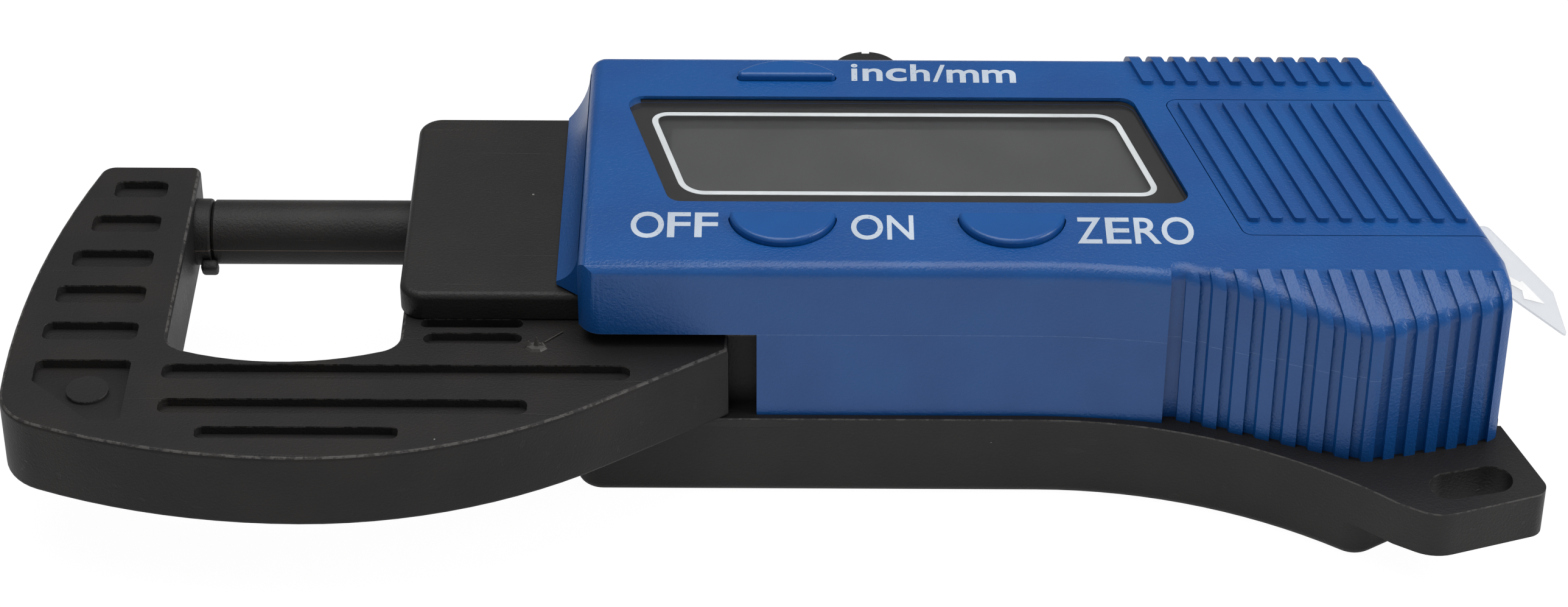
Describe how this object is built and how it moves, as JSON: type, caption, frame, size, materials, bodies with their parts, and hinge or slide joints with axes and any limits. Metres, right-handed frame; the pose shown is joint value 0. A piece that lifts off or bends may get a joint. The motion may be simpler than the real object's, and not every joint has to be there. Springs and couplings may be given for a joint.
{
  "type": "digital outside micrometer",
  "caption": "Pocket digital outside micrometer with a C-shaped frame, thumb-driven spindle carriage, ribbed display head, sliding battery door and lanyard lug.",
  "frame": {"origin": "on the flat back, 15.1 mm right of the head's left wall, under the middle of the on/off key", "axes": "+X along the spindle away from the anvil, +Y across the head away from the thumb bulge, +Z out through the display"},
  "size_m": [0.1153, 0.0488, 0.0211],
  "materials": {
    "shell_plastic": "satin moulded, fine grain",
    "frame_plastic": "fine-grained fibre-filled moulding",
    "key_plastic": "satin moulded",
    "window_plastic": "clear, black printed surround",
    "lcd_glass": "reflective display, unlit",
    "holder_plastic": "plain moulded",
    "conductive_rubber": "striped",
    "pad_rubber": "moulded",
    "board": "solder mask",
    "chip_resin": "potting resin",
    "cell_steel": "plated steel",
    "contact_brass": "plated spring strip",
    "spring_steel": "spring strip",
    "screw_steel": "zinc plated",
    "scale_foil": "etched copper pattern",
    "pull_film": "thin translucent film"
  },
  "bodies": {
    "frame": {"frame_plate": "frame_plastic", "rear_cover": "frame_plastic", "head_cover": "shell_plastic", "anvil": "frame_plastic", "window_lens": "window_plastic", "lcd_panel": "lcd_glass", "lcd_holder": "holder_plastic", "zebra_strip_near": "conductive_rubber", "zebra_strip_far": "conductive_rubber", "circuit_board": "board", "display_chip": "chip_resin", "on_off_pad": "pad_rubber", "zero_pad": "pad_rubber", "inch_mm_pad": "pad_rubber", "button_cell": "cell_steel", "contact_positive": "contact_brass", "contact_negative": "contact_brass", "carriage_spring": "spring_steel", "cover_screw_1": "screw_steel", "cover_screw_2": "screw_steel", "cover_screw_3": "screw_steel", "cover_screw_4": "screw_steel", "board_screw_1": "screw_steel", "board_screw_2": "screw_steel"},
    "carriage": {"carriage": "frame_plastic", "spindle": "frame_plastic", "spindle_clamp": "frame_plastic", "spindle_pin": "screw_steel", "clamp_screw": "screw_steel", "scale_strip": "scale_foil", "thumb_tab": "frame_plastic"},
    "on_off_button": {"on_off_button": "key_plastic"},
    "zero_button": {"zero_button": "key_plastic"},
    "inch_mm_button": {"inch_mm_button": "key_plastic"},
    "battery_door": {"battery_door": "shell_plastic"},
    "pull_tab": {"pull_tab": "pull_film"}
  },
  "joints": [
    {"name": "carriage_slide", "type": "slide", "parent": "frame", "child": "carriage", "axis": [1, 0, 0], "range_m": [0, 0.0127]},
    {"name": "on_off_press", "type": "slide", "parent": "frame", "child": "on_off_button", "axis": [0, 0, -1], "range_m": [0, 0.00045], "stiffness_N_per_m": 400, "springref_m": -0.0002},
    {"name": "zero_press", "type": "slide", "parent": "frame", "child": "zero_button", "axis": [0, 0, -1], "range_m": [0, 0.00045], "stiffness_N_per_m": 400, "springref_m": -0.0002},
    {"name": "inch_mm_press", "type": "slide", "parent": "frame", "child": "inch_mm_button", "axis": [0, 0, -1], "range_m": [0, 0.00045], "stiffness_N_per_m": 400, "springref_m": -0.0002},
    {"name": "battery_door_slide", "type": "slide", "parent": "frame", "child": "battery_door", "axis": [1, 0, 0], "range_m": [0, 0.02]},
    {"name": "pull_tab_draw", "type": "slide", "parent": "frame", "child": "pull_tab", "axis": [1, 0, 0], "range_m": [0, 0.022]}
  ]
}
